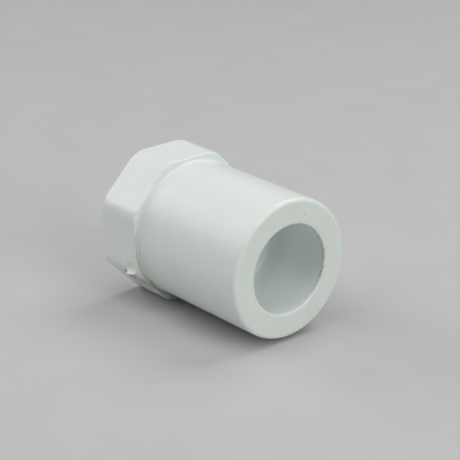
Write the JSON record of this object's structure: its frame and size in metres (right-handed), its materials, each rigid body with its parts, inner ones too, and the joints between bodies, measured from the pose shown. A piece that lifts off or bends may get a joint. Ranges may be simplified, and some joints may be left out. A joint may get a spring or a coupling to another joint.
{
  "type": "reducing coupling",
  "caption": "White PVC reducing coupling: a round hub with a slip socket for small pipe, and an octagonal wrench collar around a larger female taper pipe thread.",
  "frame": {"origin": "centre of the pipe stop's face, on the flow axis, where the end of a pipe pushed into the slip socket comes to rest", "axes": "+X along the flow axis, out of the slip socket; -X out of the threaded end; +Z square to one flat of the octagonal collar"},
  "size_m": [0.0468, 0.035, 0.035],
  "materials": {
    "white_pvc": "satin"
  },
  "bodies": {
    "root": {"slip_hub": "white_pvc", "wrench_collar": "white_pvc", "pipe_stop": "white_pvc", "pipe_thread": "white_pvc"}
  },
  "joints": []
}
